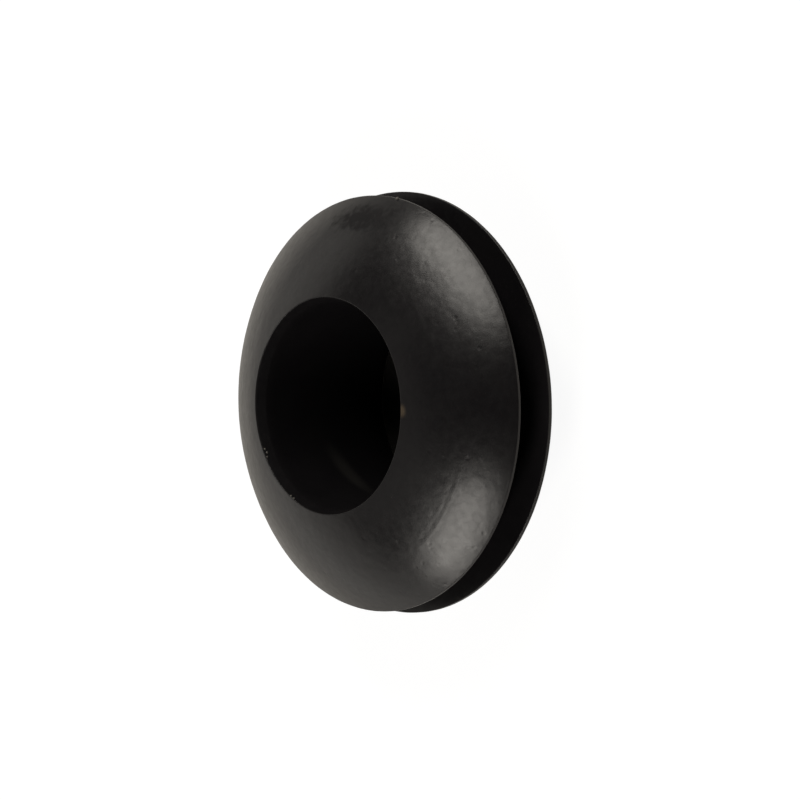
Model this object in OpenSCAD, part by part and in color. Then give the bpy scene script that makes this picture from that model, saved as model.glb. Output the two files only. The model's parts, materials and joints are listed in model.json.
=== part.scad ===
// Panel grommet, moulded in one piece from black rubber. A domed flange stands on each
// side of the groove that grips the edge of the panel hole, and a plain bore runs through.
// The bore axis is Z, and the origin lies on it, half way across the groove. Millimetres.

/* [Flanges] */
// Outer diameter of the front flange, on the side that shows
front_flange_d = 20; // [17:0.1:24]
// Outer diameter of the rear flange, which is pushed through the panel
rear_flange_d = 20.3; // [17:0.1:24]
// Height of each flange, from its groove face to the crown round the bore
flange_h = 3.3; // [2.6:0.1:4.2]
// Radius of the shallow arc that falls from the crown to the rim
dome_r = 12; // [9:0.5:40]
// Thickness of each flange at its rim
rim_t = 0.2; // [0.15:0.05:0.8]
// Rounding of the rim's edge on the groove side
rim_edge_r = 0.1; // [0.05:0.05:0.15]

/* [Groove] */
// Width of the groove, for the thickness of the panel
groove_w = 1.6; // [0.8:0.1:3.2]
// Diameter of the groove floor, for the hole in the panel
groove_d = 14; // [12.6:0.1:16]
// Rounding where the groove floor meets each flange
groove_root_r = 0.2; // [0.05:0.05:0.4]

/* [Bore] */
// Diameter of the bore, for the cable
bore_d = 10; // [6:0.1:12]
// Rounding of both mouths of the bore
mouth_r = 0.2; // [0.1:0.05:0.6]

/* [Hidden] */
$fn = 180;
bore_r = bore_d / 2;
groove_r = groove_d / 2;
// How far a cutting shape reaches past what it cuts
reach = 3;
// Centre of the mouth's rounding, measured from the groove face
mouth_c = [bore_r + mouth_r, flange_h - mouth_r];

// The point rp from p and rq from q, on the right hand when looking from p to q
function crossing(p, rp, q, rq) =
    let (gap = norm(q - p))
    let (way = (q - p) / gap)
    let (along = (rp * rp - rq * rq + gap * gap) / (2 * gap))
    let (aside = sqrt(rp * rp - along * along))
    p + along * way + aside * [way.y, -way.x];

// Half section of one flange, standing on its groove face. The dome passes through the
// top of the rim and touches the rounding of the mouth, so the two run together smoothly.
module flange_section(flange_d) {
    rim_top = [flange_d / 2, rim_t];
    edge_r = min(rim_edge_r, rim_t);
    dome_c = crossing(mouth_c, dome_r - mouth_r, rim_top, dome_r);
    // Bearing, from the centre of the rounding, of the point where the dome touches it
    touch_a = atan2(mouth_c.y - dome_c.y, mouth_c.x - dome_c.x);

    difference() {
        intersection() {
            translate([bore_r, 0]) square([rim_top.x - bore_r, flange_h + reach]);
            translate(mouth_c) rotate(touch_a) translate([mouth_r - dome_r, 0]) circle(dome_r);
        }
        // The peak where the dome would meet the bore, down to the two ends of the rounding
        translate(mouth_c) rotate(touch_a) square(reach);
        translate(mouth_c) mirror([1, 0]) square(reach);
        // The sharp corner of the rim, on the groove side
        translate([rim_top.x, 0]) mirror([1, 0]) corner_section(edge_r, reach);
    }
    translate(mouth_c) circle(mouth_r);
}

// What a circle leaves free when it is rolled into a square corner at the origin. With
// over, it goes on past the corner by that much, to cut an outer corner round.
module corner_section(corner_r, over = 0) {
    difference() {
        translate([-over, -over]) square(corner_r + over);
        translate([corner_r, corner_r]) circle(corner_r);
    }
}

// Half section of the neck that joins the flanges, with its outside as the groove floor
module neck_section() {
    root_r = min(groove_root_r, groove_w / 2);
    translate([bore_r, -groove_w / 2]) square([groove_r - bore_r, groove_w]);
    for (side = [0, 1])
        mirror([0, side]) translate([groove_r, -groove_w / 2]) corner_section(root_r);
}

module grommet() {
    color("#1f1e1c") rotate_extrude() {
        translate([0, groove_w / 2]) flange_section(front_flange_d);
        mirror([0, 1]) translate([0, groove_w / 2]) flange_section(rear_flange_d);
        neck_section();
    }
}

grommet();
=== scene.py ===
import json
import math

import bpy
from mathutils import Matrix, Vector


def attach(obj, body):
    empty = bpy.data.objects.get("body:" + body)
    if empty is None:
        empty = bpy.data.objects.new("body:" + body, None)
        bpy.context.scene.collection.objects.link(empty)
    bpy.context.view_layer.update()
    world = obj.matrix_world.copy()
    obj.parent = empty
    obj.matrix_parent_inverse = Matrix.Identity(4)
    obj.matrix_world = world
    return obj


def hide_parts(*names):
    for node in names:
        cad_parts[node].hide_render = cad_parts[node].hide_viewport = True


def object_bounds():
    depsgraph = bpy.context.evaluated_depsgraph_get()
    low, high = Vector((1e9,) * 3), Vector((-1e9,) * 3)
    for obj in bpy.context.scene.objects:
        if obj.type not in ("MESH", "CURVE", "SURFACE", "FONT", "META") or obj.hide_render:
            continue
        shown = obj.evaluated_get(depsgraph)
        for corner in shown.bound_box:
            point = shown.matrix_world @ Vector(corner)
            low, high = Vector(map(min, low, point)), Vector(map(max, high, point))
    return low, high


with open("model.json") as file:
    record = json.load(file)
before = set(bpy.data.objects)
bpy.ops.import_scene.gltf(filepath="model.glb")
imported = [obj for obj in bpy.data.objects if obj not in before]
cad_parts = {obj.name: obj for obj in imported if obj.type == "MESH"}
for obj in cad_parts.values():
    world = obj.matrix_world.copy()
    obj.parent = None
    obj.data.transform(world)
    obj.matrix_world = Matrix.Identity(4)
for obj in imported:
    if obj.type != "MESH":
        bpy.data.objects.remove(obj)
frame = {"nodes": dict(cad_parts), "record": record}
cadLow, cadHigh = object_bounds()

mm = 0.001
um = 0.000001
scene = bpy.context.scene
scene.view_settings.view_transform = "Standard"
mounts = {mount["name"]: mount["dims"] for mount in frame["record"]["mounts"]}


def hexColour(code):
    levels = [int(code[i:i + 2], 16) / 255 for i in (1, 3, 5)]
    linear = [v / 12.92 if v <= 0.04045 else ((v + 0.055) / 1.055) ** 2.4 for v in levels]
    return (*linear, 1)


# settings are the node's own properties, inputs are plain values or the sockets they are linked from
def addNode(tree, kind, settings=None, inputs=None):
    node = tree.nodes.new(kind)
    for name, value in (settings or {}).items():
        setattr(node, name, value)
    for name, value in (inputs or {}).items():
        if isinstance(value, bpy.types.NodeSocket):
            tree.links.new(value, node.inputs[name])
        else:
            node.inputs[name].default_value = value
    return node


def newMaterial(name):
    material = bpy.data.materials.new(name)
    material.use_nodes = True
    material.node_tree.nodes.clear()
    return material, material.node_tree


# sizes of the moulding: the first ones come from the CAD frame, then its small roundings and its rings
cadPoints = [vertex.co for vertex in frame["nodes"]["grommet"].data.vertices]
grommet = {
    "boreRadius": mounts["cable_bore"]["r_mm"] * mm,
    "neckRadius": mounts["panel_groove"]["r_mm"] * mm,
    "grooveFace": mounts["panel_groove"]["length_mm"] / 2 * mm,
    "crown": cadHigh.z,
    "frontRim": max(math.hypot(p.x, p.y) for p in cadPoints if p.z > 0),
    "rearRim": max(math.hypot(p.x, p.y) for p in cadPoints if p.z < 0),
    "domeRadius": 12 * mm,
    "mouthRound": 0.2 * mm,  # the CAD's rounding of the mouth, which the dome's arc is laid against
    "lipRadius": 5.22 * mm,  # where the crown turns down into the mouth
    "lipEdge": 0.04 * mm,
    "lipDepth": 0.6 * mm,  # depth at which the mouth has narrowed to the bore
    "rimThickness": 0.2 * mm,
    "frontRimBreak": 0.05 * mm,  # rounding where the dome ends
    "rearRimBreak": 0.095 * mm,
    "frontRimEdge": 0.1 * mm,  # rounding on the groove side
    "rearRimEdge": 0.04 * mm,
    "grooveRoot": 0.2 * mm,
    "ringGap": 0.07 * mm,  # spacing of the rings over the front dome
    "rearRingGap": 0.16 * mm,
    "fineGap": 0.03 * mm,  # closer rings where the mould line runs
    "fineZone": (7.66 * mm, 8.36 * mm),
    "turns": 384,
    "lipSteps": 5,
    "funnelSteps": 6,
    "crownSteps": 8,
    "rimSteps": 6,
    "rootSteps": 5,
    "faceSteps": 12,
    "floorSteps": 6,
    "wallSteps": 16,
    "weld": 0.002 * mm,
}


def onCircle(centre, radius, angle):
    return (centre[0] + radius * math.cos(angle), centre[1] + radius * math.sin(angle))


def arc(centre, radius, start, end, steps):
    return [onCircle(centre, radius, start + (end - start) * i / steps) for i in range(steps + 1)]


# the points between two ends, without the ends
def between(start, end, steps):
    return [tuple(s + (e - s) * i / steps for s, e in zip(start, end)) for i in range(1, steps)]


# half section of one flange as (radius, height): mouth, crown, dome, rim, groove face, groove root
def flangeSection(rim, rimBreak, rimEdge, ringGap, fineZone):
    g = grommet
    mouth = (g["boreRadius"] + g["mouthRound"], g["crown"] - g["mouthRound"])
    rimTop = (rim, g["grooveFace"] + g["rimThickness"])

    # the dome's centre: its arc passes through the top of the rim and touches the mouth rounding
    gapR, gapZ = rimTop[0] - mouth[0], rimTop[1] - mouth[1]
    gap = math.hypot(gapR, gapZ)
    inner = g["domeRadius"] - g["mouthRound"]
    along = (inner ** 2 - g["domeRadius"] ** 2 + gap ** 2) / (2 * gap)
    aside = math.sqrt(inner ** 2 - along ** 2)
    dome = (mouth[0] + (along * gapR + aside * gapZ) / gap, mouth[1] + (along * gapZ - aside * gapR) / gap)

    # the crown's tighter arc is level at the lip, and touches the dome from inside
    lipR, riseZ = g["lipRadius"] - dome[0], g["crown"] - dome[1]
    crownArc = (g["domeRadius"] ** 2 - lipR ** 2 - riseZ ** 2) / (2 * (g["domeRadius"] - riseZ))
    crown = (g["lipRadius"], g["crown"] - crownArc)
    touch = math.atan2(crown[1] - dome[1], crown[0] - dome[0])

    # rimBreak rounds the corner: its circle touches the dome from inside and the upright of the rim
    breakR = rim - rimBreak
    breakZ = dome[1] + math.sqrt((g["domeRadius"] - rimBreak) ** 2 - (breakR - dome[0]) ** 2)
    leave = math.atan2(breakZ - dome[1], breakR - dome[0])

    # the mouth runs up from the bore as a steep straight funnel to the lip's small edge
    lip = (g["lipRadius"], g["crown"] - g["lipEdge"])
    funnelFoot = (g["boreRadius"], g["crown"] - g["lipDepth"])
    lean = math.atan2(lip[0] - g["lipEdge"] - funnelFoot[0], lip[1] - funnelFoot[1])
    lipArc = arc(lip, g["lipEdge"], math.pi - lean, math.pi / 2, g["lipSteps"])
    section = [funnelFoot] + between(funnelFoot, lipArc[0], g["funnelSteps"]) + lipArc
    section += arc(crown, crownArc, math.pi / 2, touch, g["crownSteps"])[1:]

    # rings down the dome, closer together in the fine zone
    angle = touch
    while angle > leave + ringGap / g["domeRadius"]:
        r = onCircle(dome, g["domeRadius"], angle)[0]
        angle -= (g["fineGap"] if fineZone[0] < r < fineZone[1] else ringGap) / g["domeRadius"]
        section.append(onCircle(dome, g["domeRadius"], angle))

    section += arc((breakR, breakZ), rimBreak, leave, 0, g["rimSteps"])
    edge = (rim - rimEdge, g["grooveFace"] + rimEdge)
    section += arc(edge, rimEdge, 0, -math.pi / 2, g["rimSteps"])
    root = (g["neckRadius"] + g["grooveRoot"], g["grooveFace"] - g["grooveRoot"])
    section += between((edge[0], g["grooveFace"]), (root[0], g["grooveFace"]), g["faceSteps"])
    section += arc(root, g["grooveRoot"], math.pi / 2, math.pi, g["rootSteps"])
    return section


def wholeSection():
    g = grommet
    front = flangeSection(g["frontRim"], g["frontRimBreak"], g["frontRimEdge"], g["ringGap"], g["fineZone"])
    rear = flangeSection(g["rearRim"], g["rearRimBreak"], g["rearRimEdge"], g["rearRingGap"], (0, 0))
    rear = [(r, -z) for r, z in reversed(rear)]
    grooveFloor = between(front[-1], rear[0], g["floorSteps"])
    wall = between(rear[-1], front[0], g["wallSteps"])
    return front + grooveFloor + rear + wall


# one point is drawn out along the section, and the closed outline is spun round the bore's axis
def spinGrommet():
    section = wholeSection()
    bpy.ops.object.select_all(action="DESELECT")
    bpy.ops.mesh.primitive_plane_add(size=mm)
    piece = bpy.context.object
    piece.name = "rubberGrommet"
    piece.data.name = "rubberGrommet"
    bpy.ops.object.mode_set(mode="EDIT")
    bpy.ops.mesh.select_mode(type="VERT")
    bpy.ops.mesh.select_all(action="SELECT")
    bpy.ops.mesh.merge(type="COLLAPSE")
    bpy.ops.transform.translate(value=(section[0][0], 0, section[0][1]))
    for (r1, z1), (r2, z2) in zip(section, section[1:] + section[:1]):
        bpy.ops.mesh.extrude_region_move(TRANSFORM_OT_translate={"value": (r2 - r1, 0, z2 - z1)})
    bpy.ops.mesh.select_all(action="SELECT")
    bpy.ops.mesh.remove_doubles(threshold=grommet["weld"])
    bpy.ops.mesh.spin(steps=grommet["turns"], angle=2 * math.pi, center=(0, 0, 0), axis=(0, 0, 1))
    bpy.ops.mesh.select_all(action="SELECT")
    bpy.ops.mesh.remove_doubles(threshold=grommet["weld"])
    bpy.ops.mesh.normals_make_consistent(inside=False)
    bpy.ops.mesh.faces_shade_smooth()
    bpy.ops.object.mode_set(mode="OBJECT")
    return piece


grommetPiece = spinGrommet()
print("grommet spun:", len(grommetPiece.data.vertices), "points,", len(grommetPiece.data.polygons), "faces")


def ridge(r, mark):
    return math.exp(-abs(r - mark["radius"]) / mark["reach"])


def groove(r, mark):
    return max(0, 1 - abs(r - mark["radius"]) / mark["reach"])


# the mould's core pin stood a little off centre, which moved the front mouth towards +Y
mouthOffset = {"shift": 0.075 * mm, "fade": (7.2 * mm, 5.25 * mm), "depth": (1.5 * mm, 3.5 * mm)}
# the two halves of the mould met in a low ridge on the front dome, with fine grooves on its inner slope.
# Bearings run from -Y towards +X, in degrees
mouldMarks = {
    "partingRidge": {"shape": ridge, "radius": 8.16 * mm, "reach": 1.0 * mm, "height": 12 * um,
                     "arc": (-68, -14), "fade": 14},
    "partingGroove": {"shape": groove, "radius": 8.02 * mm, "reach": 0.16 * mm, "height": -2.8 * um,
                      "arc": (-66, -18), "fade": 14},
    "fainterGroove": {"shape": groove, "radius": 7.79 * mm, "reach": 0.12 * mm, "height": -1 * um,
                      "arc": (-56, -34), "fade": 6},
}
# the skin of moulded rubber is never quite level: shallow clouds about a millimetre across, and finer ones
skin = {
    "skinClouds": {"size": 0.9 * mm, "depth": 12 * um},
    "skinFine": {"size": 0.5 * mm, "depth": 9 * um},
}


# 0 at the start and 1 at the end, with a soft run between them
def smooth(value, start, end):
    t = max(0, min(1, (value - start) / (end - start)))
    return t * t * (3 - 2 * t)


# how far the moved mouth takes a point along: wholly at the lip, not at all far out or deep down
def mouthWeight(r, bearing, z):
    return smooth(r, *mouthOffset["fade"]) * smooth(z, *mouthOffset["depth"])


# a mark shows on the front dome only, and fades out towards the two ends of its arc
def markWeight(mark, r, bearing, z):
    if z <= grommet["grooveFace"] + grommet["rimThickness"] or r <= grommet["lipRadius"]:
        return 0
    start, end = mark["arc"]
    along = max(0, min(1, (bearing - start) / mark["fade"], (end - bearing) / mark["fade"]))
    return mark["shape"](r, mark) * along


# weighs a piece's points by their place, and moves them by that share of the height
def displaceByPlace(piece, name, height, weightAt, texture=None, midLevel=0, direction="NORMAL"):
    group = piece.vertex_groups.new(name=name)
    for vertex in piece.data.vertices:
        p = vertex.co
        weight = weightAt(math.hypot(p.x, p.y), math.degrees(math.atan2(p.x, -p.y)), p.z)
        if weight > 0:
            group.add([vertex.index], weight, "REPLACE")
    modifier = piece.modifiers.new(name, "DISPLACE")
    modifier.vertex_group = group.name
    modifier.texture = texture
    modifier.texture_coords = "LOCAL"
    modifier.direction = direction
    modifier.mid_level = midLevel
    modifier.strength = height
    bpy.context.view_layer.objects.active = piece
    bpy.ops.object.modifier_apply(modifier=name)
    piece.vertex_groups.remove(piece.vertex_groups[name])


displaceByPlace(grommetPiece, "mouthOffset", mouthOffset["shift"], mouthWeight, direction="Y")
for name, mark in mouldMarks.items():
    displaceByPlace(grommetPiece, name, mark["height"], lambda r, bearing, z: markWeight(mark, r, bearing, z))
for name, cloud in skin.items():
    clouds = bpy.data.textures.new(name, "CLOUDS")
    clouds.noise_scale = cloud["size"]
    clouds.noise_depth = 1
    clouds.noise_basis = "IMPROVED_PERLIN"
    # with a middle level of 1 the clouds only press the skin in, so it stays inside the CAD box
    displaceByPlace(grommetPiece, name, cloud["depth"], lambda r, bearing, z: 1, clouds, 1)
print("mould marks pressed in")

rubberLook = {
    "body": "#131114",
    "bloom": "#1b1a1b",
    "ior": 1.48,
    "roughness": (0.277, 0.335),
    "unevenSpan": (0.3, 0.7),  # the noise levels that give the least and the greatest roughness
    "bloomSize": 1.6 * mm,
    "grainSize": 0.32 * mm,  # the grain that a blasted mould leaves
    "grainHeight": 5 * um,
    "grainShare": 0.8,  # how much of the roughness follows the grain, the rest follows the bloom
    "pitGap": 0.75 * mm,
    "pitDepth": 3.5 * um,
    "pitEdge": (0.03, 0.2),  # from a pit's floor to its border, as shares of the gap
    "scuffRoughness": 0.55,
    "scuffLevel": 0.18,  # specular level of the scuffed skin, whose gloss has gone
}
# places where the skin differs, or where a highlight is painted on it: middle in mm, turn in degrees and half
# sizes in mm.
# Each fades in between two distances from its middle, where 1 is the border. The grain is added to the
# scuff's, to make it ragged
skinPlaces = {
    "scuff": {"middle": (8.95, -0.6, 1.98), "turn": (0, 0, 0), "spread": (1.05, 2.6, 1.05),
              "fade": (1.5, 0.75)},
    # a pale streak on the bore wall: a painted highlight for the light the wall reflects there
    "boreWallPaintedHighlight": {"middle": (-3.2, 3.75, -0.4), "turn": (0, 14.9, -140.9), "spread": (2.2, 0.9, 0.65),
                  "fade": (1, 0.2), "colour": "#2b2a29"},
    # a warm pale patch on the near edge of the mouth, a painted highlight for the light its rounding catches
    "nearLipPaintedHighlight": {"middle": (-0.4, -5.17, 4.08), "turn": (0, 0, 0), "spread": (0.42, 0.3, 0.25),
                 "fade": (1, 0.2), "colour": "#4c4235"},
}


# distance from the middle of one of the places, 1 at its border
def fromPlace(tree, place, spot):
    local = addNode(tree, "ShaderNodeMapping", {"vector_type": "TEXTURE"}, {
        "Vector": place, "Location": [v * mm for v in spot["middle"]],
        "Rotation": [math.radians(v) for v in spot["turn"]], "Scale": [v * mm for v in spot["spread"]]})
    distance = addNode(tree, "ShaderNodeVectorMath", {"operation": "LENGTH"}, {0: local.outputs["Vector"]})
    return distance.outputs["Value"]


# Black moulded rubber, EPDM or nitrile. The carbon black in it swallows nearly all light, so the eye
# sees only the satin sheen of the skin. A waxy bloom comes to the surface in clouds and dulls it
def mouldedBlackRubber():
    look = rubberLook
    material, tree = newMaterial("mouldedBlackRubber")
    place = addNode(tree, "ShaderNodeTexCoord").outputs["Object"]
    bloom = addNode(tree, "ShaderNodeTexNoise", inputs={
        "Vector": place, "Scale": 1 / look["bloomSize"], "Detail": 2, "Roughness": 0.5})
    grain = addNode(tree, "ShaderNodeTexNoise", inputs={
        "Vector": place, "Scale": 1 / look["grainSize"], "Detail": 1, "Roughness": 0.5})
    uneven = addNode(tree, "ShaderNodeMix", inputs={
        "Factor": look["grainShare"], 2: bloom.outputs["Fac"], 3: grain.outputs["Fac"]})
    dullness = addNode(tree, "ShaderNodeMapRange", inputs={
        "Value": uneven.outputs[0], "From Min": look["unevenSpan"][0], "From Max": look["unevenSpan"][1],
        "To Min": look["roughness"][0], "To Max": look["roughness"][1]})
    tint = addNode(tree, "ShaderNodeMix", {"data_type": "RGBA"}, {
        "Factor": bloom.outputs["Fac"], "A": hexColour(look["body"]), "B": hexColour(look["bloom"])})

    # painted highlights: a pale streak in the bore stands for the light its wall reflects there, and a warm
    # pale patch on the near edge of the mouth for the light its rounding catches
    for spot in (skinPlaces["boreWallPaintedHighlight"], skinPlaces["nearLipPaintedHighlight"]):
        paintedShare = addNode(tree, "ShaderNodeMapRange", {"interpolation_type": "SMOOTHSTEP"}, {
            "Value": fromPlace(tree, place, spot), "From Min": spot["fade"][0], "From Max": spot["fade"][1]})
        tint = addNode(tree, "ShaderNodeMix", {"data_type": "RGBA"}, {
            "Factor": paintedShare.outputs["Result"], "A": tint.outputs["Result"], "B": hexColour(spot["colour"])})

    # small pits where air was trapped against the mould, one to a cell
    cells = addNode(tree, "ShaderNodeTexVoronoi", inputs={
        "Vector": place, "Scale": 1 / look["pitGap"], "Randomness": 1})
    pits = addNode(tree, "ShaderNodeMapRange", {"interpolation_type": "SMOOTHSTEP"}, {
        "Value": cells.outputs["Distance"], "From Min": look["pitEdge"][0], "From Max": look["pitEdge"][1],
        "To Min": -look["pitDepth"], "To Max": 0})
    height = addNode(tree, "ShaderNodeMath", {"operation": "MULTIPLY_ADD"}, {
        0: grain.outputs["Fac"], 1: look["grainHeight"], 2: pits.outputs["Result"]})
    bump = addNode(tree, "ShaderNodeBump", inputs={
        "Height": height.outputs["Value"], "Distance": 1, "Strength": 1})
    satin = addNode(tree, "ShaderNodeBsdfPrincipled", inputs={
        "Base Color": tint.outputs["Result"], "Roughness": dullness.outputs["Result"], "IOR": look["ior"],
        "Normal": bump.outputs["Normal"]})

    # a scuffed patch near the rim, broken up by the grain: towards its middle the gloss is gone
    scuff = skinPlaces["scuff"]
    ragged = addNode(tree, "ShaderNodeMath", {"operation": "ADD"}, {
        0: grain.outputs["Fac"], 1: fromPlace(tree, place, scuff)})
    scuffed = addNode(tree, "ShaderNodeMapRange", {"interpolation_type": "SMOOTHSTEP"}, {
        "Value": ragged.outputs["Value"], "From Min": scuff["fade"][0], "From Max": scuff["fade"][1]})
    dull = addNode(tree, "ShaderNodeBsdfPrincipled", inputs={
        "Base Color": tint.outputs["Result"], "Roughness": look["scuffRoughness"], "IOR": look["ior"],
        "Specular IOR Level": look["scuffLevel"], "Normal": bump.outputs["Normal"]})
    surface = addNode(tree, "ShaderNodeMixShader", inputs={
        "Fac": scuffed.outputs["Result"], 1: satin.outputs["BSDF"], 2: dull.outputs["BSDF"]})
    addNode(tree, "ShaderNodeOutputMaterial", inputs={"Surface": surface.outputs["Shader"]})
    return material


grommetPiece.data.materials.append(mouldedBlackRubber())
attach(grommetPiece, "root")
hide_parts("grommet")
print("rubber on the grommet")

# crumbs left where the flash was torn off: five on the edge of the mouth and one on the rim
crumbs = {
    # bearing in degrees, then distance from the axis, height and size in mm
    "spots": ((-158.2, 5.215, 4.0, 0.04), (-156, 5.2, 3.95, 0.045), (-153.7, 5.23, 3.99, 0.04),
              (-125.6, 5.225, 4.02, 0.048), (-123.2, 5.225, 4.02, 0.048), (77.5, 9.99, 1.02, 0.075)),
    "ragged": 0.016 * mm,
    "seed": 4,
    # the crumbs' pale tones are a painted highlight for the glints on these burrs; the darker one speckles
    # them
    "paintedGlintTone": "#8b8883",
    "paintedGlintDarkTone": "#504d49",
    "speckle": 0.03 * mm,
    "roughness": 0.9,
}


def scatterCrumbs():
    bpy.ops.object.select_all(action="DESELECT")
    bpy.ops.mesh.primitive_plane_add(size=mm)
    piece = bpy.context.object
    piece.name = "flashCrumbs"
    piece.data.name = "flashCrumbs"
    bpy.ops.object.mode_set(mode="EDIT")
    bpy.ops.mesh.delete(type="VERT")
    for bearing, radius, height, size in crumbs["spots"]:
        a = math.radians(bearing)
        spot = (radius * mm * math.sin(a), -radius * mm * math.cos(a), height * mm)
        bpy.ops.mesh.primitive_ico_sphere_add(subdivisions=3, radius=size * mm, location=spot)
    bpy.ops.mesh.select_all(action="SELECT")
    bpy.ops.transform.vertex_random(offset=crumbs["ragged"], seed=crumbs["seed"])
    bpy.ops.mesh.normals_make_consistent(inside=False)
    bpy.ops.mesh.faces_shade_smooth()
    bpy.ops.object.mode_set(mode="OBJECT")
    return piece


# Torn crumbs of flash, pale and quite matt: their pale colour is a painted highlight that stands for the
# glints these burrs catch
def paintedGlintCrumbs():
    material, tree = newMaterial("paintedGlintCrumbs")
    place = addNode(tree, "ShaderNodeTexCoord").outputs["Object"]
    speckle = addNode(tree, "ShaderNodeTexNoise", inputs={
        "Vector": place, "Scale": 1 / crumbs["speckle"], "Detail": 2})
    glintTone = addNode(tree, "ShaderNodeMix", {"data_type": "RGBA"}, {
        "Factor": speckle.outputs["Fac"],
        "A": hexColour(crumbs["paintedGlintDarkTone"]), "B": hexColour(crumbs["paintedGlintTone"])})
    matt = addNode(tree, "ShaderNodeBsdfPrincipled", inputs={
        "Base Color": glintTone.outputs["Result"], "Roughness": crumbs["roughness"]})
    addNode(tree, "ShaderNodeOutputMaterial", inputs={"Surface": matt.outputs["BSDF"]})
    return material


crumbPiece = scatterCrumbs()
crumbPiece.data.materials.append(paintedGlintCrumbs())
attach(crumbPiece, "root")
print("crumbs on the edges")

# a round table top of pale paper with its edge swept up, so that it closes every low view
table = {
    "radius": 0.7,
    "sweep": 0.16,
    "corners": 96,
    "sweepSteps": 12,
    "paper": "#d6d2cb",
    "shade": "#3a3836",  # painted shade on the paper inside the bore, where hardly any light gets
    "boreFade": (5.2 * mm, 6.4 * mm),  # distances from the axis between which the painted shade gives way
    "white": 0.935,  # strength of the plain white that the eye sees in place of the paper
    "shadow": 0.16,  # how strongly the grommet's shadow still shows on that white
    "glossyShare": 0.175,  # how much of the white the rubber mirrors: all of it would bleach the far side
}


def sweepTable():
    bpy.ops.object.select_all(action="DESELECT")
    bpy.ops.mesh.primitive_circle_add(vertices=table["corners"], radius=table["radius"], fill_type="TRIFAN")
    top = bpy.context.object
    top.name = "paperTable"
    bpy.ops.object.mode_set(mode="EDIT")
    bpy.ops.mesh.select_mode(type="EDGE")
    bpy.ops.mesh.select_all(action="DESELECT")
    bpy.ops.mesh.select_non_manifold()
    for i in range(table["sweepSteps"]):
        a1, a2 = (math.pi / 2 * (i + k) / table["sweepSteps"] for k in (0, 1))
        r1, r2 = (table["radius"] + table["sweep"] * math.sin(a) for a in (a1, a2))
        rise = table["sweep"] * (math.cos(a1) - math.cos(a2))
        bpy.ops.mesh.extrude_region_move(TRANSFORM_OT_translate={"value": (0, 0, rise)})
        bpy.ops.transform.resize(value=(r2 / r1, r2 / r1, 1), center_override=(0, 0, 0))
    bpy.ops.mesh.select_all(action="SELECT")
    bpy.ops.mesh.normals_make_consistent(inside=True)
    bpy.ops.mesh.faces_shade_smooth()
    bpy.ops.object.mode_set(mode="OBJECT")
    top.location.z = cadLow.z
    return top


# Uncoated paper, matt all over: a pale tone that lights the rubber softly from below. The eye, and to a
# small share the rubber's gloss, meets plain white in its place, and its underside is clear
def matPaper():
    material, tree = newMaterial("matPaper")
    place = addNode(tree, "ShaderNodeTexCoord").outputs["Object"]
    ray = addNode(tree, "ShaderNodeLightPath")
    fromAxis = addNode(tree, "ShaderNodeVectorMath", {"operation": "LENGTH"}, {0: place})
    # inside the bore's footprint the paper gets painted shade and none of the white
    outside = addNode(tree, "ShaderNodeMapRange", {"interpolation_type": "SMOOTHSTEP"}, {
        "Value": fromAxis.outputs["Value"],
        "From Min": table["boreFade"][0], "From Max": table["boreFade"][1]})
    direct = addNode(tree, "ShaderNodeMath", {"operation": "ADD"}, {
        0: ray.outputs["Is Camera Ray"], 1: ray.outputs["Is Transmission Ray"]})
    seen = addNode(tree, "ShaderNodeMath", {"operation": "MULTIPLY_ADD", "use_clamp": True}, {
        0: ray.outputs["Is Glossy Ray"], 1: table["glossyShare"], 2: direct.outputs["Value"]})
    whitened = addNode(tree, "ShaderNodeMath", {"operation": "MULTIPLY"}, {
        0: seen.outputs["Value"], 1: outside.outputs["Result"]})
    shade = addNode(tree, "ShaderNodeMix", {"data_type": "RGBA"}, {
        "Factor": outside.outputs["Result"], "A": hexColour(table["shade"]), "B": hexColour(table["paper"])})
    plain = addNode(tree, "ShaderNodeBsdfDiffuse", inputs={"Color": shade.outputs["Result"]})
    glow = addNode(tree, "ShaderNodeEmission", inputs={"Color": (1, 1, 1, 1), "Strength": table["white"]})
    faint = addNode(tree, "ShaderNodeBsdfDiffuse", inputs={"Color": (table["shadow"],) * 3 + (1,)})
    white = addNode(tree, "ShaderNodeAddShader", inputs={
        0: glow.outputs["Emission"], 1: faint.outputs["BSDF"]})
    face = addNode(tree, "ShaderNodeMixShader", inputs={
        "Fac": whitened.outputs["Value"], 1: plain.outputs["BSDF"], 2: white.outputs["Shader"]})
    side = addNode(tree, "ShaderNodeNewGeometry")
    clear = addNode(tree, "ShaderNodeBsdfTransparent")
    sheet = addNode(tree, "ShaderNodeMixShader", inputs={
        "Fac": side.outputs["Backfacing"], 1: face.outputs["Shader"], 2: clear.outputs["BSDF"]})
    addNode(tree, "ShaderNodeOutputMaterial", inputs={"Surface": sheet.outputs["Shader"]})
    return material


tableTop = sweepTable()
tableTop.data.materials.append(matPaper())
print("table laid")

world = bpy.data.worlds.new("darkRoom")
scene.world = world
world.use_nodes = True
world.node_tree.nodes["Background"].inputs["Color"].default_value = (0, 0, 0, 1)

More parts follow.
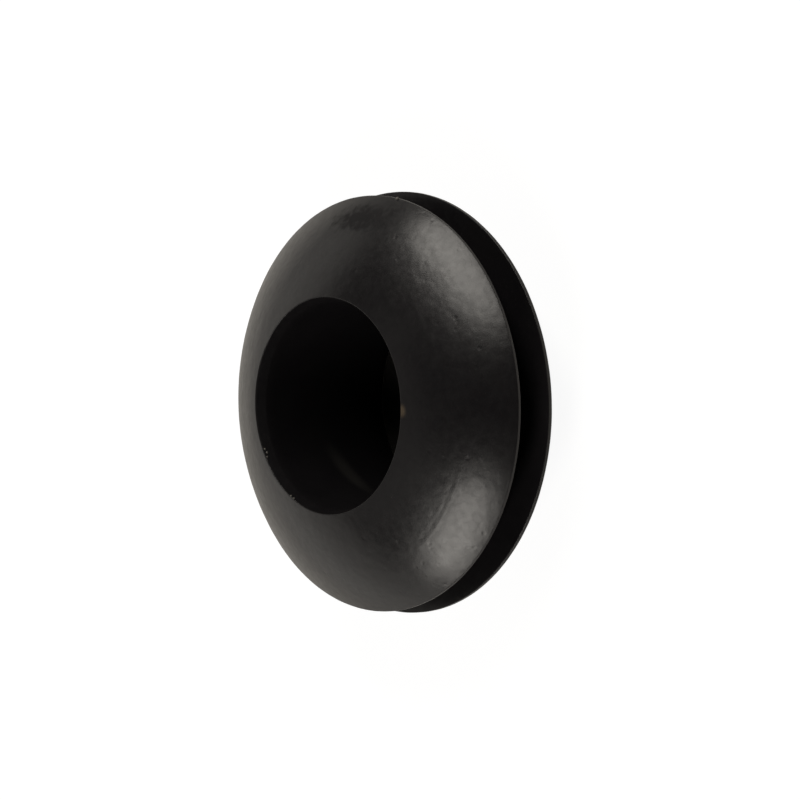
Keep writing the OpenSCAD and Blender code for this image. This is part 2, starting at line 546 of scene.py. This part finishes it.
# aim is the azimuth, from the camera's side (-Y) towards +X, and the elevation; size is width and height,
# and slide moves a lamp along them, all as shares of its distance
lamps = {
    "leftStrip": {"shape": "ELLIPSE", "aim": (-84.1, 38.6), "roll": 34.9, "size": (0.94, 0.268),
                  "slide": (0, 0), "radiance": 7.95},
    "rightStrip": {"shape": "ELLIPSE", "aim": (80.1, 35.8), "roll": -25.5, "size": (1.165, 0.272),
                   "slide": (0, 0), "radiance": 7.75},
    "backCard": {"shape": "RECTANGLE", "aim": (192.9, 0), "roll": -9.1, "size": (6.07, 0.706),
                 "slide": (0.964, 0.406), "radiance": 0.553},
    "overheadCard": {"shape": "RECTANGLE", "aim": (196, 66), "roll": 0, "size": (1.1, 0.8),
                     "slide": (0, 0), "radiance": 0.23},
}
lampDistance = 0.45
lampColour = "#fffaf2"

# a lamp is turned about the world's origin as on a boom: roll, then elevation, then azimuth
for name, lamp in lamps.items():
    bpy.ops.object.light_add(type="AREA")
    light = bpy.context.object
    light.name = name
    width, height = (share * lampDistance for share in lamp["size"])
    light.data.shape = lamp["shape"]
    light.data.size = width
    light.data.size_y = height
    area = width * height * (math.pi / 4 if lamp["shape"] == "ELLIPSE" else 1)
    light.data.energy = lamp["radiance"] * math.pi * area
    light.data.color = hexColour(lampColour)[:3]
    light.visible_camera = False
    boom = Matrix.Rotation(math.radians(lamp["aim"][0]), 4, "Z")
    boom @= Matrix.Rotation(math.radians(90 - lamp["aim"][1]), 4, "X")
    boom @= Matrix.Rotation(math.radians(lamp["roll"]), 4, "Z")
    light.matrix_world = boom @ Matrix.Translation([share * lampDistance for share in (*lamp["slide"], 1)])
print("lamps hung")

camera = {
    "elevation": 42.17,
    "roll": -92.53,
    "distance": 0.3846,
    "nearest": 0.01,  # nothing closer than this is drawn
    "sensor": 36,
    "frame": 800,  # picture width and height in pixels
    "pixelsPerMm": 20.799,
    "originX": 391.765,  # the pixel that the world's origin falls on
    "originY": 402.937,
}
bpy.ops.object.camera_add()
cam = bpy.context.object
cam.name = "camera"
tripod = Matrix.Rotation(math.radians(90 - camera["elevation"]), 4, "X")
tripod @= Matrix.Rotation(math.radians(camera["roll"]), 4, "Z")
cam.matrix_world = tripod @ Matrix.Translation((0, 0, camera["distance"]))
cam.data.sensor_width = camera["sensor"]
cam.data.lens = camera["pixelsPerMm"] * camera["distance"] / mm / camera["frame"] * camera["sensor"]
cam.data.shift_x = (camera["frame"] / 2 - camera["originX"]) / camera["frame"]
cam.data.shift_y = (camera["originY"] - camera["frame"] / 2) / camera["frame"]
cam.data.clip_start = camera["nearest"]
scene.camera = cam
print("camera set")
